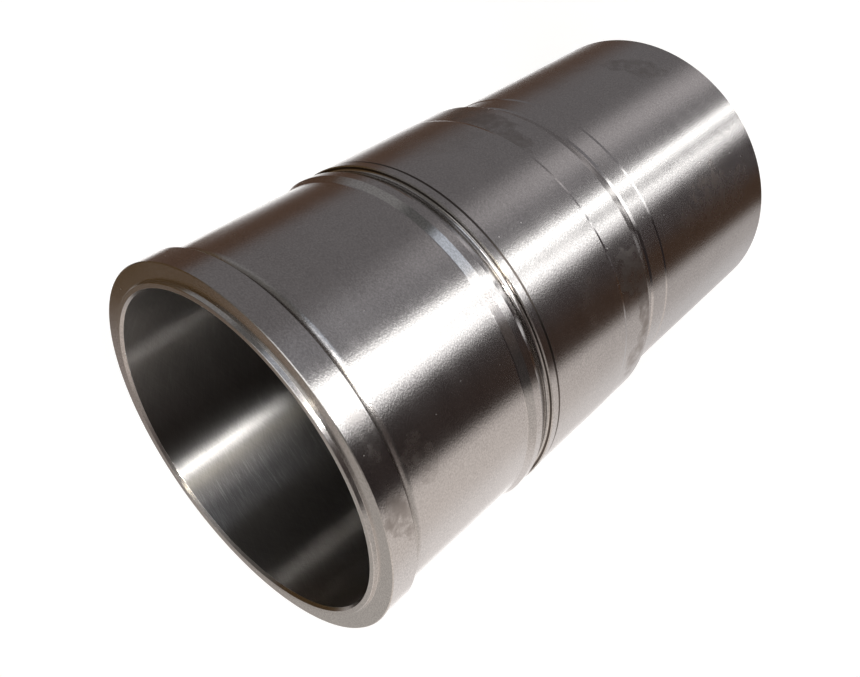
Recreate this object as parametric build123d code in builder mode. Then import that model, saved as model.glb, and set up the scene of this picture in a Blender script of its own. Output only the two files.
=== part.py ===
"""Wet cylinder liner for a heavy diesel engine, turned from one piece.

The liner stands upright on its lower end. Its axis is +Z and the origin is on
that axis, in the plane of the lower end. All sizes are in millimetres.
"""
import os

from build123d import *

# Overall sizes
LENGTH = 254.0
BORE_DIAMETER = 128.0

# Fire lip, the raised ring round the mouth of the bore
LIP_HEIGHT = 1.5
LIP_WALL = 3.05
LIP_TAPER = 0.4
LIP_EDGE_CHAMFER = 0.15
MOUTH_CHAMFER_WIDTH = 0.8
MOUTH_CHAMFER_DEPTH = 1.1

# Top flange that hangs the liner in the engine block
FLANGE_OVERHANG = 2.3
FLANGE_HEIGHT = 11.0
FLANGE_EDGE_CHAMFER = 0.3

# Relief below the flange seat, blended into the jacket wall
RELIEF_DEPTH = 1.3
RELIEF_FLOOR_LENGTH = 1.65
RELIEF_BLEND_LENGTH = 2.8
RELIEF_CORNER_RADIUS = 0.6

# Jacket wall, washed by the coolant
JACKET_LENGTH = 54.65

# Upper land, led in by a cone and cut by a sealing groove
LEAD_CONE_HEIGHT = 1.3
LEAD_CONE_LENGTH = 3.4
LEAD_CONE_RADIUS = 2.0
UPPER_RIB_LENGTH = 3.3
GROOVE_DEPTH = 2.4
GROOVE_SLOPE_LENGTH = 6.2
GROOVE_CORNER_RADIUS = 1.2
GROOVE_EDGE_CHAMFER = 0.4
LOWER_RIB_LENGTH = 3.5

# Turned line that parts the upper land from the middle wall
LINE_DEPTH = 0.35
LINE_ENTRY_LENGTH = 0.3
LINE_EXIT_LENGTH = 0.9

# Middle wall, down to the shallow step of the seal land
WALL_DROP = 0.2
WALL_LENGTH = 43.1
WALL_STEP_LENGTH = 1.1

# Seal land, with its long taper and the neck below it
SEAL_LAND_HEIGHT = 3.0
SEAL_LAND_DROP = 0.2
SEAL_LAND_LENGTH = 16.5
TAPER_LENGTH = 6.9
NECK_DEPTH = 0.6
NECK_RADIUS = 1.0
NECK_RAMP_LENGTH = 1.5

# Pilot and skirt, the plain part that reaches into the crankcase
SKIRT_WALL = 5.1
PILOT_DEPTH = 0.2
PILOT_LENGTH = 9.4
PILOT_RAMP_LENGTH = 0.9
SKIRT_END_CHAMFER = 0.6
BORE_END_CHAMFER = 1.0

# Levels along the axis, from the fire lip down
gasket_face = LENGTH - LIP_HEIGHT
flange_seat = gasket_face - FLANGE_HEIGHT
relief_end = flange_seat - RELIEF_FLOOR_LENGTH
jacket_top = relief_end - RELIEF_BLEND_LENGTH
jacket_end = jacket_top - JACKET_LENGTH
upper_rib_top = jacket_end - LEAD_CONE_LENGTH
upper_rib_end = upper_rib_top - UPPER_RIB_LENGTH
lower_rib_top = upper_rib_end - GROOVE_SLOPE_LENGTH
lower_rib_end = lower_rib_top - LOWER_RIB_LENGTH
line_bottom = lower_rib_end - LINE_ENTRY_LENGTH
wall_top = line_bottom - LINE_EXIT_LENGTH
wall_end = wall_top - WALL_LENGTH
seal_land_top = wall_end - WALL_STEP_LENGTH
seal_land_end = seal_land_top - SEAL_LAND_LENGTH
neck = seal_land_end - TAPER_LENGTH
pilot_top = neck - NECK_RAMP_LENGTH
pilot_end = pilot_top - PILOT_LENGTH
skirt_top = pilot_end - PILOT_RAMP_LENGTH

# Radii of the turned surfaces, built up from the bore
bore_radius = BORE_DIAMETER / 2
lip_radius = bore_radius + LIP_WALL
lip_crest_radius = lip_radius - LIP_TAPER
skirt_radius = bore_radius + SKIRT_WALL
pilot_radius = skirt_radius - PILOT_DEPTH
neck_radius = skirt_radius - NECK_DEPTH
seal_land_radius = skirt_radius + SEAL_LAND_HEIGHT
wall_radius = seal_land_radius + SEAL_LAND_DROP
land_radius = wall_radius + WALL_DROP
line_radius = land_radius - LINE_DEPTH
groove_radius = land_radius - GROOVE_DEPTH
jacket_radius = land_radius - LEAD_CONE_HEIGHT
relief_radius = jacket_radius - RELIEF_DEPTH
flange_radius = jacket_radius + FLANGE_OVERHANG

# Corners of the half section that are rounded or chamfered
lip_corner = (lip_crest_radius, LENGTH)
flange_upper_corner = (flange_radius, gasket_face)
flange_lower_corner = (flange_radius, flange_seat)
relief_corner = (relief_radius, flange_seat)
cone_corner = (jacket_radius, jacket_end)
groove_corner = (groove_radius, lower_rib_top)
lower_rib_corner = (land_radius, lower_rib_top)
neck_corner = (neck_radius, neck)
skirt_corner = (skirt_radius, 0)
bore_corner = (bore_radius, 0)


def corners(sketch, *points):
    """The vertices of a half section at the given (radius, level) points."""
    found = []
    for point in points:
        target = Vector(point[0], point[1])
        found.append(sketch.vertices().sort_by_distance(target)[0])
    return found


with BuildPart() as cylinder_liner:
    with BuildSketch(Plane.XZ) as half_section:
        with BuildLine():
            Polyline(
                (jacket_radius, jacket_top),
                cone_corner,
                (land_radius, upper_rib_top),
                (land_radius, upper_rib_end),
                groove_corner,
                lower_rib_corner,
                (land_radius, lower_rib_end),
                (line_radius, line_bottom),
                (wall_radius, wall_top),
                (wall_radius, wall_end),
                (seal_land_radius, seal_land_top),
                (seal_land_radius, seal_land_end),
                neck_corner,
                (pilot_radius, pilot_top),
                (pilot_radius, pilot_end),
                (skirt_radius, skirt_top),
                skirt_corner,
                bore_corner,
                (bore_radius, LENGTH - MOUTH_CHAMFER_DEPTH),
                (bore_radius + MOUTH_CHAMFER_WIDTH, LENGTH),
                lip_corner,
                (lip_radius, gasket_face),
                flange_upper_corner,
                flange_lower_corner,
                relief_corner,
                (relief_radius, relief_end),
            )
            TangentArc(
                (jacket_radius, jacket_top),
                (relief_radius, relief_end),
                tangent=(0, 1),
            )
        make_face()
        fillet(corners(half_section, relief_corner), RELIEF_CORNER_RADIUS)
        fillet(corners(half_section, cone_corner), LEAD_CONE_RADIUS)
        fillet(corners(half_section, groove_corner), GROOVE_CORNER_RADIUS)
        fillet(corners(half_section, neck_corner), NECK_RADIUS)
        chamfer(corners(half_section, lip_corner), LIP_EDGE_CHAMFER)
        chamfer(
            corners(half_section, flange_upper_corner, flange_lower_corner),
            FLANGE_EDGE_CHAMFER,
        )
        chamfer(corners(half_section, lower_rib_corner), GROOVE_EDGE_CHAMFER)
        chamfer(corners(half_section, skirt_corner), SKIRT_END_CHAMFER)
        chamfer(corners(half_section, bore_corner), BORE_END_CHAMFER)
    revolve(axis=Axis.Z)

cylinder_liner.part.label = "cylinder_liner"
os.makedirs("parts", exist_ok=True)
export_step(cylinder_liner.part, "parts/cylinder_liner.step")
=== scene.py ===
import math

import bpy
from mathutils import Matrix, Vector


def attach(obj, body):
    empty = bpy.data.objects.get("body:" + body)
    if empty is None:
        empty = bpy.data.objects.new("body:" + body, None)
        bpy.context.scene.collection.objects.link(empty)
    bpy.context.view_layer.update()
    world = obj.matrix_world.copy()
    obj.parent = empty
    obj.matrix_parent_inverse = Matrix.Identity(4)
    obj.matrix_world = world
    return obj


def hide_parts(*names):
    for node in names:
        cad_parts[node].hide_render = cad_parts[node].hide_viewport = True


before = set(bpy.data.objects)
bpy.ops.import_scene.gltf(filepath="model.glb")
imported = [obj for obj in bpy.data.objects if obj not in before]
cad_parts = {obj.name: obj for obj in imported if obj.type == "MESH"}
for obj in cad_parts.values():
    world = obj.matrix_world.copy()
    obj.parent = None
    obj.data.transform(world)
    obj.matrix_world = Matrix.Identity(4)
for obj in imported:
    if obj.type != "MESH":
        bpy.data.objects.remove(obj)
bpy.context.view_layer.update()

MM = 0.001

# ---------------------------------------------------------------- outline
# The turned outline of the liner in millimetres, with the sizes of the solid.

BORE = 64.0
LIP = 67.05
LIP_CREST = 66.65
FLANGE = 73.5
RELIEF = 69.9
JACKET = 71.2
LAND = 72.5
GROOVE = 70.1
LINE = 72.15
WALL = 72.3
SEAL_LAND = 72.1
NECK = 68.5
PILOT = 68.9
SKIRT = 69.1

TOP = 254.0
MOUTH_END = 252.9
GASKET_FACE = 252.5
FLANGE_SEAT = 241.5
RELIEF_END = 239.85
RELIEF_BLEND = 238.75
JACKET_END = 182.4
UPPER_RIB_TOP = 179.0
UPPER_RIB_END = 175.7
LOWER_RIB_TOP = 169.5
LOWER_RIB_END = 166.0
LINE_BOTTOM = 165.7
WALL_TOP = 164.8
WALL_END = 121.7
SEAL_LAND_TOP = 120.6
SEAL_LAND_END = 104.1
NECK_LEVEL = 97.2
PILOT_TOP = 95.7
PILOT_END = 86.3
SKIRT_TOP = 85.4

MOUTH_WIDTH = 0.8
LIP_EDGE = 0.15
FLANGE_EDGE = 0.3
RIB_EDGE = 0.4
SKIRT_EDGE = 0.6
BORE_EDGE = 1.0

RELIEF_BLEND_RADIUS = 3.66
LEAD_CONE_RADIUS = 2.0
GROOVE_RADIUS = 1.2
NECK_RADIUS = 1.0
RELIEF_RADIUS = 0.6
BROKEN = 0.05
WORN = 0.3

# radius, level, rounding of that corner, zone of the surface that follows it
OUTLINE = [
    (BORE, BORE_EDGE, 0.1, "bore"),
    (BORE, MOUTH_END, WORN, "mouth"),
    (BORE + MOUTH_WIDTH, TOP, BROKEN, "lip"),
    (LIP_CREST - LIP_EDGE, TOP, BROKEN, "edge"),
    (LIP_CREST, TOP - LIP_EDGE, BROKEN, "lip_wall"),
    (LIP, GASKET_FACE, 0.15, "flange_face"),
    (FLANGE - FLANGE_EDGE, GASKET_FACE, 0.08, "edge"),
    (FLANGE, GASKET_FACE - FLANGE_EDGE, 0.08, "flange_rim"),
    (FLANGE, FLANGE_SEAT + FLANGE_EDGE, 0.08, "crease"),
    (FLANGE - FLANGE_EDGE, FLANGE_SEAT, 0.08, "relief"),
    (RELIEF, FLANGE_SEAT, RELIEF_RADIUS, "relief"),
    (RELIEF, RELIEF_END, 0.0, "relief"),
    (JACKET, RELIEF_BLEND, RELIEF_BLEND_RADIUS, "jacket"),
    (JACKET, JACKET_END, LEAD_CONE_RADIUS, "cone"),
    (LAND, UPPER_RIB_TOP, WORN, "rib"),
    (LAND, UPPER_RIB_END, 0.2, "groove"),
    (GROOVE, LOWER_RIB_TOP, GROOVE_RADIUS, "groove"),
    (LAND - RIB_EDGE, LOWER_RIB_TOP, BROKEN, "edge"),
    (LAND, LOWER_RIB_TOP - RIB_EDGE, BROKEN, "rib"),
    (LAND, LOWER_RIB_END, BROKEN, "edge"),
    (LINE, LINE_BOTTOM, BROKEN, "crease"),
    (WALL, WALL_TOP, 0.1, "middle_wall"),
    (WALL, WALL_END, WORN, "cone"),
    (SEAL_LAND, SEAL_LAND_TOP, WORN, "seal_land"),
    (SEAL_LAND, SEAL_LAND_END, 0.5, "cone"),
    (NECK, NECK_LEVEL, NECK_RADIUS, "cone"),
    (PILOT, PILOT_TOP, 0.5, "skirt"),
    (PILOT, PILOT_END, 0.1, "cone"),
    (SKIRT, SKIRT_TOP, 0.1, "skirt"),
    (SKIRT, SKIRT_EDGE, 0.1, "edge"),
    (SKIRT - SKIRT_EDGE, 0.0, BROKEN, "lower_end"),
    (BORE + BORE_EDGE, 0.0, BROKEN, "edge"),
]

# steps round the liner
SEGMENTS = 360

# steps along a rounding: fine up to the radius BLEND_FROM in millimetres, blend above it
FINE_STEPS = 4
BLEND_STEPS = 12
BLEND_FROM = 1.0

# a straight shorter than this, in millimetres, is left out
TOUCHING = 1e-4

# cosine and sine of each step round the liner
WHEEL = []
for i in range(SEGMENTS):
    angle = 2 * math.pi * i / SEGMENTS
    WHEEL.append((math.cos(angle), math.sin(angle)))


def fillet_points(before, corner, after, radius):
    """Points and outward normals of the arc that rounds one corner of the outline."""
    a = (before - corner).normalized()
    b = (after - corner).normalized()
    half = a.angle(b) / 2
    centre = corner + (a + b).normalized() * (radius / math.sin(half))
    reach = radius / math.tan(half)
    start = corner + a * reach - centre
    end = corner + b * reach - centre
    turn = start.angle_signed(end)
    outward = 1 if (corner - before).cross(after - corner) < 0 else -1
    steps = BLEND_STEPS if radius > BLEND_FROM else FINE_STEPS
    points = []
    for i in range(steps + 1):
        angle = -turn * i / steps
        c, s = math.cos(angle), math.sin(angle)
        arm = Vector((start.x * c - start.y * s, start.x * s + start.y * c))
        points.append((centre + arm, arm.normalized() * outward))
    return points


def outline_runs():
    """The outline as runs of (point, normal): one for each rounding and each straight."""
    corners = [Vector((radius, level)) for radius, level, _, _ in OUTLINE]
    count = len(corners)
    arcs = []
    for i, (_, _, rounding, _) in enumerate(OUTLINE):
        after = corners[(i + 1) % count]
        if rounding:
            arcs.append(fillet_points(corners[i - 1], corners[i], after, rounding))
        else:
            arcs.append([(corners[i], Vector((0, 0)))])
    runs = []
    for i in range(count):
        zone = OUTLINE[i][3]
        if len(arcs[i]) > 1:
            runs.append((arcs[i], zone))
        start = arcs[i][-1][0]
        end = arcs[(i + 1) % count][0][0]
        along = end - start
        if along.length > TOUCHING:
            normal = Vector((-along.y, along.x)).normalized()
            runs.append(([(start, normal), (end, normal)], zone))
    return runs


def outline_bands():
    """The outline as bands of (start, end, zone), each end with its normal."""
    bands = []
    for points, zone in outline_runs():
        for here, there in zip(points, points[1:]):
            bands.append((here, there, zone))
    return bands


def turned(vector, c, s):
    """A point or normal of the outline, turned to the bearing of this cosine and sine."""
    return (vector.x * c, vector.x * s, vector.y)


def make_liner():
    """The turned body as one closed mesh, with exact normals for its reflections."""
    bands = outline_bands()
    zones = list(dict.fromkeys(zone for _, _, zone in bands))
    verts, faces, normals, slots = [], [], [], []
    for i, ((point, normal), (_, next_normal), zone) in enumerate(bands):
        here, there = i * SEGMENTS, (i + 1) % len(bands) * SEGMENTS
        for j, (c, s) in enumerate(WHEEL):
            verts.append([value * MM for value in turned(point, c, s)])
            k = (j + 1) % SEGMENTS
            faces.append((here + j, there + j, there + k, here + k))
            slots.append(zones.index(zone))
            for n, m in ((normal, j), (next_normal, j), (next_normal, k), (normal, k)):
                normals.append(turned(n, *WHEEL[m]))
    mesh = bpy.data.meshes.new("liner_body")
    mesh.from_pydata(verts, [], faces)
    mesh.polygons.foreach_set("material_index", slots)
    mesh.polygons.foreach_set("use_smooth", [True] * len(faces))
    mesh.update()
    mesh.normals_split_custom_set(normals)
    liner = bpy.data.objects.new("liner_body", mesh)
    bpy.context.scene.collection.objects.link(liner)
    return liner, zones


# ---------------------------------------------------------------- node helper


class Graph:
    """Short ways to add linked nodes to one node tree."""

    def __init__(self, tree):
        self.tree = tree

    def add(self, kind, **settings):
        """A new node of one kind."""
        node = self.tree.nodes.new("ShaderNode" + kind)
        for name, value in settings.items():
            setattr(node, name, value)
        return node

    def feed(self, socket, value):
        """Link an output to a socket, or set the socket to a plain value."""
        if isinstance(value, bpy.types.NodeSocket):
            self.tree.links.new(value, socket)
        else:
            socket.default_value = value

    def math(self, operation, *values):
        """The result of one sum."""
        node = self.add("Math", operation=operation)
        for socket, value in zip(node.inputs, values):
            self.feed(socket, value)
        return node.outputs[0]

    def rise(self, value, start, end):
        """0 below start, 1 above end, and smooth between them."""
        node = self.add("MapRange", interpolation_type="SMOOTHSTEP")
        self.feed(node.inputs["Value"], value)
        self.feed(node.inputs["From Min"], start)
        self.feed(node.inputs["From Max"], end)
        return node.outputs[0]

    def window(self, value, low, high, soft_low, soft_high):
        """1 between low and high, with an edge of its own softness at each side."""
        into = self.rise(value, low - soft_low, low + soft_low)
        out = self.rise(value, high - soft_high, high + soft_high)
        return self.math("MULTIPLY", into, self.math("SUBTRACT", 1.0, out))

    def mix(self, share, a, b):
        """Colour a where share is 0, and colour b where it is 1."""
        node = self.add("Mix", data_type="RGBA")
        self.feed(node.inputs["Factor"], share)
        for name, colour in (("A", a), ("B", b)):
            linked = isinstance(colour, bpy.types.NodeSocket)
            self.feed(node.inputs[name], colour if linked else (*colour, 1))
        return node.outputs["Result"]

    def combine(self, x, y, z):
        """One vector of three values."""
        node = self.add("CombineXYZ")
        for socket, value in zip(node.inputs, (x, y, z)):
            self.feed(socket, value)
        return node.outputs[0]

    def noise(self, vector, scale, detail, roughness=0.5):
        """Cloudy noise, mostly between 0.25 and 0.75."""
        node = self.add("TexNoise")
        self.feed(node.inputs["Vector"], vector)
        node.inputs["Scale"].default_value = scale
        node.inputs["Detail"].default_value = detail
        node.inputs["Roughness"].default_value = roughness
        return node.outputs["Fac"]


# ---------------------------------------------------------------- bare iron

IRON = (0.60, 0.582, 0.568)
HONED_IRON = (0.31, 0.302, 0.296)
DULL_IRON = (0.45, 0.425, 0.41)
# painted shade: the dark colour of the relief's recess under the flange
RELIEF_SHADE = (0.15, 0.128, 0.115)
# painted shade: the dark colour of the creases and of the upward ledge in the groove
CORNER_SHADE = (0.12, 0.105, 0.095)
TARNISH = (0.50, 0.47, 0.45)
STAIN = (0.36, 0.33, 0.31)
RUST = (0.42, 0.29, 0.21)
BRIGHT = (0.75, 0.74, 0.72)
DRIED = (0.26, 0.235, 0.215)
# near white, for scratches in the bore painted as bright glints
SCRATCH_GLINT = (0.95, 0.94, 0.94)

# what the metal's colour is times in dark and light clouds and on the crests of its marks
CLOUD_DARK = 0.86
CLOUD_LIGHT = 0.92
CREST_LIGHT = 1.16

# what each adds to the roughness where it is full
CLOUD_BLUR = 0.06
SCRATCH_BLUR = 0.02
SPECK_BLUR = 0.20
STAIN_BLUR = 0.16

# Length and width of one kind of mark in millimetres, with the detail of its noise, and
# the values of that noise between which the mark rises from none to full.
CLOUD = (30.0, 9.0, 3.0)
CLOUD_RISE = (0.35, 0.65)
GRAIN = (0.75, 0.42, 1.0)
GRAIN_RISE = (0.25, 0.75)
RING = (60.0, 1.4, 2.0)
HONING = (3.0, 0.36, 2.0)
HONING_RISE = (0.35, 0.65)
SCRATCH = (1.8, 0.4, 1.0)
SCRATCH_RISE = (0.64, 0.70)

# the share of rings in the height of turned marks, of which the rest is grain
RING_SHARE = 0.25

# degrees that marks in the bore turn for each millimetre of height
HONING_TWIST = 1.9
SCRATCH_TWIST = -7.0

# The band of the bore where scratches are painted as bright glints: its two edges in degrees
# of bearing, their softness, and the share of those painted glints that is left outside it.
GLINT_BAND = (-177.0, -160.0, 3.0, 6.0)
FAINT_SCRATCH_GLINT = 0.2

# Bright specks: width of a cell in millimetres, the soft edge of a speck as a share of
# its cell, and the random value from which a cell holds one.
SPECK_SPACING = 5.0
SPECK_EDGE = (0.03, 0.07)
SPECK_PICK = (0.62, 0.64)

# Stained patches: scale, detail and roughness of the noise that frays their edge and of
# the noise that mottles them.
FRAY_NOISE = (0.13, 5.0, 0.6)
FRAY = 4.0
MOTTLE_NOISE = (0.25, 4.0, 0.55)
MOTTLE_RISE = (0.25, 0.68)

# Where a patch fades out, and the edges and softness of the line dried round it, by the
# square of the way out: 0 in the middle and 1 at the half width.
PATCH_FADE = (1.25, 0.45)
TIDE_LINE = (0.75, 1.05, 0.2, 0.2)
TIDE_STRENGTH = 0.3

# zones with painted shade on their ledges, and how far up their normal points where it sets in
SHADED_LEDGES = ("groove",)
LEDGE_RISE = (0.80, 0.90)

# a quarter turn, so that highlights spread across the marks that run round the liner
ACROSS_THE_MARKS = 0.25

# zone: colour, roughness, anisotropy, way the tool ran, depth of its marks in millimetres
FINISHES = {
    "jacket": (IRON, 0.235, 0.75, "wall", 0.034),
    "middle_wall": (IRON, 0.235, 0.75, "wall", 0.034),
    "skirt": (IRON, 0.24, 0.75, "wall", 0.034),
    "rib": (IRON, 0.22, 0.75, "wall", 0.022),
    "seal_land": (IRON, 0.235, 0.75, "wall", 0.028),
    "flange_rim": (IRON, 0.22, 0.75, "wall", 0.028),
    "cone": (IRON, 0.16, 0.60, "wall", 0.012),
    "groove": (IRON, 0.16, 0.60, "wall", 0.012),
    # the relief's dark colour is painted shade of its recess under the flange
    "relief": (RELIEF_SHADE, 0.32, 0.60, "wall", 0.030),
    # the creases' dark colour is painted shade
    "crease": (CORNER_SHADE, 0.30, 0.50, "wall", 0.010),
    "lip_wall": (IRON, 0.15, 0.40, "wall", 0.010),
    "mouth": (DULL_IRON, 0.20, 0.50, "wall", 0.010),
    "edge": (IRON, 0.20, 0.30, "wall", 0.004),
    "flange_face": (IRON, 0.17, 0.75, "face", 0.015),
    "lip": (IRON, 0.24, 0.85, "face", 0.012),
    "lower_end": (IRON, 0.26, 0.85, "face", 0.030),
    "bore": (HONED_IRON, 0.31, 1.0, "bore", 0.016),
}

# Stains and wear by zone, each with its place: bearing of the middle from the front and
# half width in degrees, height of the middle above the lower end and half height in
# millimetres, climb in millimetres a degree, and then its colour and strength.
WEAR = {
    "flange_rim": [
        (-35, 7, 246.0, 6.0, 0.0, STAIN, 0.85),
        (-41, 4, 244.0, 2.5, 0.3, STAIN, 0.6),
        (-12, 8, 246.5, 4.0, 0.05, TARNISH, 0.5),
    ],
    "jacket": [
        (-27, 7, 232.0, 6.0, 0.3, TARNISH, 0.5),
        (34, 30, 225.0, 12.0, -0.2, TARNISH, 0.18),
    ],
    "seal_land": [
        (44, 20, 115.0, 8.0, -0.25, STAIN, 0.75),
        (-24, 9, 111.0, 9.0, 0.2, STAIN, 0.8),
        (-40, 8, 107.0, 4.0, 0.1, STAIN, 0.9),
        (-56, 9, 111.0, 6.0, -0.2, STAIN, 0.8),
    ],
    "skirt": [
        (34, 9, 26.0, 9.0, 0.5, STAIN, 0.6),
        (58, 12, 60.0, 20.0, 0.4, RUST, 0.25),
        (-24, 10, 40.0, 30.0, 0.0, RUST, 0.35),
    ],
    "middle_wall": [
        (-25, 8, 135.0, 12.0, 0.0, RUST, 0.25),
        (50, 14, 140.0, 14.0, 0.3, TARNISH, 0.3),
    ],
}


class Place:
    """Where a point lies on the liner, for the nodes of one material."""

    def __init__(self, graph):
        split = graph.add("SeparateXYZ")
        graph.feed(split.inputs[0], graph.add("TexCoord").outputs["Object"])
        self.graph = graph
        self.x, self.y, self.z = (graph.math("DIVIDE", axis, MM) for axis in split.outputs)
        turn = graph.math("ARCTAN2", self.x, graph.math("MULTIPLY", self.y, -1.0))
        self.bearing = graph.math("MULTIPLY", turn, math.degrees(1.0))
        square = graph.math("MULTIPLY", self.x, self.x)
        self.radius = graph.math("SQRT", graph.math("MULTIPLY_ADD", self.y, self.y, square))

    def stretched(self, along, across, twist=0.0, direction="wall"):
        """Coordinates whose unit is a mark of this length and width, in millimetres.

        The marks run round the liner. With a twist, in degrees for each millimetre of
        height, they run up it askew.
        """
        graph = self.graph
        depth = self.radius if direction == "face" else self.z
        flat = graph.combine(self.x, self.y, 0.0)
        if twist:
            spin = graph.add("VectorRotate", rotation_type="Z_AXIS")
            graph.feed(spin.inputs["Vector"], flat)
            graph.feed(spin.inputs["Angle"], graph.math("MULTIPLY", self.z, math.radians(twist)))
            flat = spin.outputs[0]
            along, across = across, along
        split = graph.add("SeparateXYZ")
        graph.feed(split.inputs[0], flat)
        x, y = (graph.math("DIVIDE", axis, along) for axis in split.outputs[:2])
        return graph.combine(x, y, graph.math("DIVIDE", depth, across))

    def marks(self, kind, twist=0.0, direction="wall"):
        """The noise of one kind of mark."""
        along, across, detail = kind
        return self.graph.noise(self.stretched(along, across, twist, direction), 1.0, detail)

    def patch(self, bearing, half_width, level, half_height, climb):
        """The share of one mottled patch with a ragged edge, and of the line dried round it."""
        graph = self.graph
        spot = graph.combine(self.x, self.y, self.z)
        ragged = graph.noise(spot, *FRAY_NOISE)
        beside = graph.math("SUBTRACT", self.bearing, bearing)
        above = graph.math("SUBTRACT", self.z, level)
        above = graph.math("MULTIPLY_ADD", beside, -climb, above)
        u = graph.math("DIVIDE", beside, half_width)
        v = graph.math("DIVIDE", above, half_height)
        reach = graph.math("MULTIPLY_ADD", v, v, graph.math("MULTIPLY", u, u))
        fray = graph.math("MULTIPLY_ADD", ragged, FRAY, -FRAY / 2)
        reach = graph.math("ADD", reach, fray)
        mottle = graph.rise(graph.noise(spot, *MOTTLE_NOISE), *MOTTLE_RISE)
        inside = graph.math("MULTIPLY", graph.rise(reach, *PATCH_FADE), mottle)
        return inside, graph.window(reach, *TIDE_LINE)


def turned_marks(graph, place, direction):
    """Height of the marks of turning and the share of their crests, from 0 to 1."""
    grain = place.marks(GRAIN, direction=direction)
    rings = place.marks(RING, direction=direction)
    rings = graph.math("MULTIPLY", rings, RING_SHARE)
    marks = graph.math("MULTIPLY_ADD", grain, 1 - RING_SHARE, rings)
    return marks, graph.rise(grain, *GRAIN_RISE)


def honed_marks(graph, place):
    """Height of the crossed marks of honing and the share of their crests, from 0 to 1."""
    up = place.marks(HONING, HONING_TWIST)
    down = place.marks(HONING, -HONING_TWIST)
    marks = graph.math("MULTIPLY_ADD", up, 0.5, graph.math("MULTIPLY", down, 0.5))
    return marks, graph.rise(marks, *HONING_RISE)


def scratch_glints(graph, place):
    """The share of short scratches painted bright as glints, strongest in the band of the bore
    where glints are painted.
    """
    glint_band = graph.window(place.bearing, *GLINT_BAND)
    glint_band = graph.math("MAXIMUM", glint_band, FAINT_SCRATCH_GLINT)
    lines = graph.rise(place.marks(SCRATCH, SCRATCH_TWIST), *SCRATCH_RISE)
    return graph.math("MULTIPLY", lines, glint_band)


def specks(graph, place):
    """The share of small bright pits and dust, one in some of the cells of a wide grid."""
    cells = graph.add("TexVoronoi")
    graph.feed(cells.inputs["Vector"], graph.combine(place.x, place.y, place.z))
    cells.inputs["Scale"].default_value = 1 / SPECK_SPACING
    pick = graph.add("SeparateXYZ")
    graph.feed(pick.inputs[0], cells.outputs["Color"])
    beyond = graph.rise(cells.outputs["Distance"], *SPECK_EDGE)
    near = graph.math("SUBTRACT", 1.0, beyond)
    return graph.math("MULTIPLY", near, graph.rise(pick.outputs[0], *SPECK_PICK))


def add_wear_and_shade(graph, place, zone, paint, rough):
    """Colour and roughness with the stains of one zone and the painted shade on its ledges."""
    for *where, stain, strength in WEAR.get(zone, []):
        share, tide = place.patch(*where)
        share = graph.math("MULTIPLY", share, strength)
        tide = graph.math("MULTIPLY", tide, TIDE_STRENGTH * strength)
        paint = graph.mix(share, paint, stain)
        paint = graph.mix(tide, paint, DRIED)
        rough = graph.math("MULTIPLY_ADD", share, STAIN_BLUR, rough)
    if zone in SHADED_LEDGES:
        # painted shade on the ledges that face up in these zones
        facing = graph.add("SeparateXYZ")
        graph.feed(facing.inputs[0], graph.add("NewGeometry").outputs["Normal"])
        paint = graph.mix(graph.rise(facing.outputs[2], *LEDGE_RISE), paint, CORNER_SHADE)
    return paint, rough


def metal_shader(graph, anisotropy):
    """The shader of bare metal that spreads its highlights across its marks."""
    shader = graph.tree.nodes["Principled BSDF"]
    shader.inputs["Metallic"].default_value = 1.0
    shader.inputs["Anisotropic"].default_value = anisotropy
    shader.inputs["Anisotropic Rotation"].default_value = ACROSS_THE_MARKS
    tangent = graph.add("Tangent", direction_type="RADIAL", axis="Z")
    graph.feed(shader.inputs["Tangent"], tangent.outputs[0])
    return shader


def iron(zone):
    """Bare iron of one zone, with the marks of its tool, its stains and its wear, and the
    painted shade and painted glints of some zones.
    """
    colour, roughness, anisotropy, direction, depth = FINISHES[zone]
    material = bpy.data.materials.new("iron_" + zone)
    material.use_nodes = True
    graph = Graph(material.node_tree)
    place = Place(graph)
    shader = metal_shader(graph, anisotropy)
    if direction == "bore":
        marks, crests = honed_marks(graph, place)
        flaws_and_glints, flaw_and_glint_colour, flaw_blur = scratch_glints(graph, place), SCRATCH_GLINT, SCRATCH_BLUR
    else:
        marks, crests = turned_marks(graph, place, direction)
        flaws_and_glints, flaw_and_glint_colour, flaw_blur = specks(graph, place), BRIGHT, SPECK_BLUR

    cloud = place.marks(CLOUD, direction=direction)
    dark, light, crest_colour = (
        [share * c for c in colour] for share in (CLOUD_DARK, CLOUD_LIGHT, CREST_LIGHT))
    paint = graph.mix(graph.rise(cloud, *CLOUD_RISE), dark, light)
    paint = graph.mix(crests, paint, crest_colour)
    # bright specks of dust, and in the bore scratches painted bright as glints
    paint = graph.mix(flaws_and_glints, paint, flaw_and_glint_colour)
    rough = graph.math("MULTIPLY_ADD", cloud, CLOUD_BLUR, roughness - CLOUD_BLUR / 2)
    rough = graph.math("MULTIPLY_ADD", flaws_and_glints, flaw_blur, rough)
    paint, rough = add_wear_and_shade(graph, place, zone, paint, rough)
    graph.feed(shader.inputs["Base Color"], paint)
    graph.feed(shader.inputs["Roughness"], rough)

    bump = graph.add("Bump")
    bump.inputs["Distance"].default_value = depth * MM
    graph.feed(bump.inputs["Height"], marks)
    graph.feed(shader.inputs["Normal"], bump.outputs[0])
    return material


liner, zones = make_liner()
for zone in zones:
    liner.data.materials.append(iron(zone))
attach(liner, "root")
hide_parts("cylinder_liner")


# ---------------------------------------------------------------- studio

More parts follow.
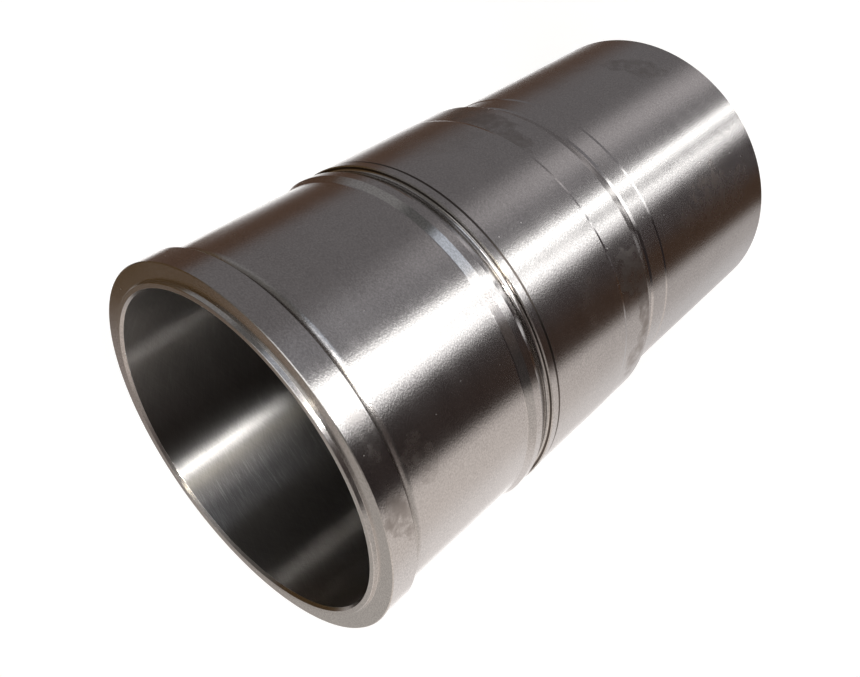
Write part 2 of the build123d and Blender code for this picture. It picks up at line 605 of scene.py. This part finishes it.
# The room that the metal reflects, in rings from the floor up. A ring has the height in
# degrees at which it takes over from the one below, the softness of that seam, and its
# panels: where each begins, in degrees of bearing from the front, how soft that edge is,
# and its colour.
ROOM = [
    (-90, 1, [
        (-180, 1, (1.70, 1.68, 1.66)),
        (-157, 4, (0.66, 0.64, 0.645)),
        (-104, 12, (0.48, 0.45, 0.44)),
        (-71, 5, (0.070, 0.038, 0.022)),
        (-40, 5, (0.050, 0.040, 0.042)),
        (-24, 3, (1.20, 1.18, 1.20)),
        (6, 3, (0.21, 0.20, 0.21)),
        (27, 6, (0.58, 0.55, 0.56)),
        (46, 6, (0.17, 0.16, 0.165)),
        (107, 4, (0.10, 0.060, 0.042)),
        (142, 4, (0.50, 0.48, 0.48)),
        (151, 3, (2.40, 2.40, 2.40)),
    ]),
    (-40, 8, [
        (-180, 1, (1.70, 1.68, 1.66)),
        (-152, 5, (0.90, 0.85, 0.83)),
        (-112, 10, (0.78, 0.71, 0.67)),
        (-70.5, 5, (0.026, 0.020, 0.020)),
        (-24, 3, (1.20, 1.18, 1.20)),
        (6, 3, (0.21, 0.20, 0.21)),
        (32, 6, (0.17, 0.16, 0.165)),
        (107, 4, (0.10, 0.060, 0.042)),
        (139, 4, (0.50, 0.48, 0.48)),
        (149, 4, (1.70, 1.68, 1.66)),
    ]),
    (-10, 4, [
        (-180, 1, (0.60, 0.57, 0.55)),
        (-150, 12, (0.90, 0.84, 0.80)),
        (-110, 12, (0.55, 0.51, 0.48)),
        (-66, 4, (0.03, 0.026, 0.025)),
        (-40, 6, (0.07, 0.055, 0.05)),
        (-22, 2, (0.56, 0.54, 0.57)),
        (6, 3, (0.73, 0.80, 0.91)),
        (36, 4, (0.11, 0.11, 0.11)),
        (60, 4, (0.25, 0.245, 0.245)),
        (100, 4, (0.12, 0.088, 0.058)),
        (133, 4, (0.02, 0.018, 0.016)),
        (146, 4, (0.60, 0.57, 0.55)),
    ]),
    (6, 4, [
        (-180, 1, (0.40, 0.36, 0.33)),
        (-172, 4, (0.50, 0.47, 0.44)),
        (-152, 8, (0.86, 0.78, 0.72)),
        (-94, 8, (0.46, 0.42, 0.39)),
        (-64, 8, (0.19, 0.16, 0.15)),
        (-46, 5, (0.055, 0.040, 0.037)),
        (-7, 2, (0.42, 0.38, 0.34)),
        (13, 5, (0.14, 0.132, 0.124)),
        (98, 4, (0.100, 0.062, 0.030)),
        (172, 3, (0.22, 0.165, 0.125)),
        (178, 1.5, (0.31, 0.27, 0.24)),
    ]),
    (58, 6, [
        (-180, 1, (0.20, 0.185, 0.17)),
        (-20, 6, (1.50, 1.50, 1.50)),
        (68, 6, (0.20, 0.185, 0.17)),
    ]),
]

# Soft-edged boxes over the room: left and right edge, foot and head in degrees, softness
# of the sides, softness of foot and head, and colour.
BOXES = {
    "window": (-18.0, 6.0, -100, -4, 2.5, 4, (2.4, 2.4, 2.4)),
    "window_at_level": (-5, 6, -8, 6, 1.5, 3, (2.4, 2.4, 2.4)),
    "window_bar": (-14.0, -5.5, -100, -39, 1.5, 4, (0.20, 0.195, 0.21)),
    "window_slant": (3.2, 9, -100, -36, 2, 5, (0.21, 0.20, 0.21)),
    "cupboard_side": (136, 150.5, -27.5, -10, 4, 2, (0.10, 0.060, 0.042)),
    "long_lamp": (-13, -9.5, 15, 26, 0.7, 1.5, (195.0, 192.0, 187.0)),
    "low_shelf": (-7, 15, 13, 26, 1, 1.5, (5.6, 5.5, 5.55)),
    "blue_shelf": (15, 34, 13, 26, 2, 1.5, (1.5, 1.53, 1.63)),
    "low_wall": (168, 180, 6, 19.3, 1, 0.5, (0.37, 0.33, 0.32)),
    "high_lamp": (-2.4, 0, 8, 55, 0.7, 4, (14.0, 13.0, 10.5)),
}

# The side of the dark door that leans: its two edges in degrees of bearing and their
# softness, the height below which it leans, and the degrees that it leans for each one
# further down.
DOOR_SIDE = (-130.0, -45.0, 20.0, 15.0)
DOOR_LEAN_BELOW = -32.0
DOOR_LEAN = 0.9

# Straight down, the panels run on side by side: the heights between which that sets in,
# and the degrees of bearing that one step of x then stands for.
NADIR = (-56.0, -68.0)
NADIR_WIDTH = 170.0


def ring_of_panels(graph, turn, panels):
    """The colours of one ring, with a stop at each side of the seam between two panels."""
    ramp = graph.add("ValToRGB")
    graph.feed(ramp.inputs[0], turn)
    stops = ramp.color_ramp.elements
    stops[0].color = (*panels[0][2], 1)
    stops.remove(stops[-1])
    for (_, _, before), (start, soft, colour) in zip(panels, panels[1:]):
        for angle, paint in ((start - soft, before), (start + soft, colour)):
            stops.new((angle + 180) / 360).color = (*paint, 1)
    return ramp.outputs["Color"]


def soft_box(graph, bearing, height, edges):
    """The share of one soft-edged box of the room."""
    left, right, foot, head, soft_sides, soft_ends = edges
    across = graph.window(bearing, left, right, soft_sides, soft_sides)
    upright = graph.window(height, foot, head, soft_ends, soft_ends)
    return graph.math("MULTIPLY", across, upright)


def find_direction(graph):
    """Bearing from the front and height above the horizon of each direction, in degrees."""
    split = graph.add("SeparateXYZ")
    graph.feed(split.inputs[0], graph.add("TexCoord").outputs["Generated"])
    x, y, z = split.outputs
    turn = graph.math("ARCTAN2", x, graph.math("MULTIPLY", y, -1.0))
    bearing = graph.math("MULTIPLY", turn, math.degrees(1.0))
    height = graph.math("MULTIPLY", graph.math("ARCSINE", z), math.degrees(1.0))
    above_nadir = graph.rise(height, NADIR[1], NADIR[0])
    beside = graph.math("MULTIPLY", x, NADIR_WIDTH)
    step = graph.math("SUBTRACT", bearing, beside)
    return graph.math("MULTIPLY_ADD", step, above_nadir, beside), height


def lean_door(graph, bearing, height):
    """Bearing with the left side of the dark door leaning outwards towards its foot."""
    below = graph.math("SUBTRACT", DOOR_LEAN_BELOW, height)
    below = graph.math("MAXIMUM", below, 0.0)
    beside = graph.window(bearing, *DOOR_SIDE)
    lean = graph.math("MULTIPLY", graph.math("MULTIPLY", below, DOOR_LEAN), beside)
    return graph.math("ADD", bearing, lean)


def make_world():
    """A room of soft panels for the metal to reflect, plain white where the camera sees it."""
    world = bpy.data.worlds.new("studio")
    bpy.context.scene.world = world
    world.use_nodes = True
    graph = Graph(world.node_tree)
    bearing, height = find_direction(graph)
    turn = graph.math("MULTIPLY_ADD", lean_door(graph, bearing, height), 1 / 360, 0.5)
    (_, _, panels), *upper_rings = ROOM
    paint = ring_of_panels(graph, turn, panels)
    for seam, soft, panels in upper_rings:
        ring = ring_of_panels(graph, turn, panels)
        paint = graph.mix(graph.rise(height, seam - soft, seam + soft), paint, ring)
    for *edges, colour in BOXES.values():
        paint = graph.mix(soft_box(graph, bearing, height, edges), paint, colour)
    seen = graph.add("LightPath").outputs["Is Camera Ray"]
    paint = graph.mix(seen, paint, (1.0, 1.0, 1.0))
    graph.feed(world.node_tree.nodes["Background"].inputs["Color"], paint)


# Half the floor's side in metres, its colour for light and its colour for the camera, and
# its glow for the camera, which makes the open floor white and keeps the shadow faint.
FLOOR_HALF = 8.0
FLOOR_WHITE = (0.9, 0.9, 0.9)
FLOOR_SEEN = (0.45, 0.45, 0.45)
FLOOR_GLOW = 0.73

# the patch of floor inside the bore: how far in metres it lies above the floor, and its colour,
# a grey below the floor's white that is painted shade
PATCH_LIFT = 0.0002
PATCH_SHADE_GREY = (0.5, 0.5, 0.5, 1)


def flat_face(name, rim):
    """A new object in the scene that is one flat face."""
    mesh = bpy.data.meshes.new(name)
    mesh.from_pydata(rim, [], [range(len(rim))])
    face = bpy.data.objects.new(name, mesh)
    bpy.context.scene.collection.objects.link(face)
    return face


def matt_shader(face, name):
    """The shader of a new matt material on one face."""
    material = bpy.data.materials.new(name)
    material.use_nodes = True
    face.data.materials.append(material)
    shader = material.node_tree.nodes["Principled BSDF"]
    shader.inputs["Roughness"].default_value = 1.0
    shader.inputs["Specular IOR Level"].default_value = 0.0
    return shader


def make_floor():
    """A plain white floor, which shows white to the camera and takes a faint shadow."""
    h = FLOOR_HALF
    floor = flat_face("floor", [(-h, -h, 0), (h, -h, 0), (h, h, 0), (-h, h, 0)])
    floor.visible_glossy = False
    shader = matt_shader(floor, "floor_white")
    graph = Graph(shader.id_data)
    seen = graph.add("LightPath").outputs["Is Camera Ray"]
    graph.feed(shader.inputs["Base Color"], graph.mix(seen, FLOOR_WHITE, FLOOR_SEEN))
    shader.inputs["Emission Color"].default_value = (1, 1, 1, 1)
    graph.feed(shader.inputs["Emission Strength"], graph.math("MULTIPLY", seen, FLOOR_GLOW))


def make_floor_inside():
    """The patch of floor that the bore stands round, for the bore alone to reflect, greyer than
    the floor as painted shade.
    """
    reach = BORE * MM
    rim = [(reach * c, reach * s, PATCH_LIFT) for c, s in WHEEL]
    patch = flat_face("floor_inside", rim)
    patch.visible_camera = False
    shader = matt_shader(patch, "floor_shaded")
    shader.inputs["Base Color"].default_value = PATCH_SHADE_GREY


def make_camera():
    """The camera at the place from which the photo was taken."""
    camera = bpy.data.cameras.new("camera")
    camera.sensor_width = 36.0
    camera.lens = 38.7524
    camera.shift_x = -0.05329
    camera.shift_y = -0.05412
    camera.clip_start = 0.01
    camera.clip_end = 100
    body = bpy.data.objects.new("camera", camera)
    body.location = (0.0, -0.3117, 0.3696)
    turns = (-36.795, 40.038, -138.946)
    body.rotation_euler = [math.radians(turn) for turn in turns]
    bpy.context.scene.collection.objects.link(body)
    bpy.context.scene.camera = body


make_floor()
make_floor_inside()
make_world()
make_camera()
bpy.context.scene.view_settings.view_transform = "Standard"
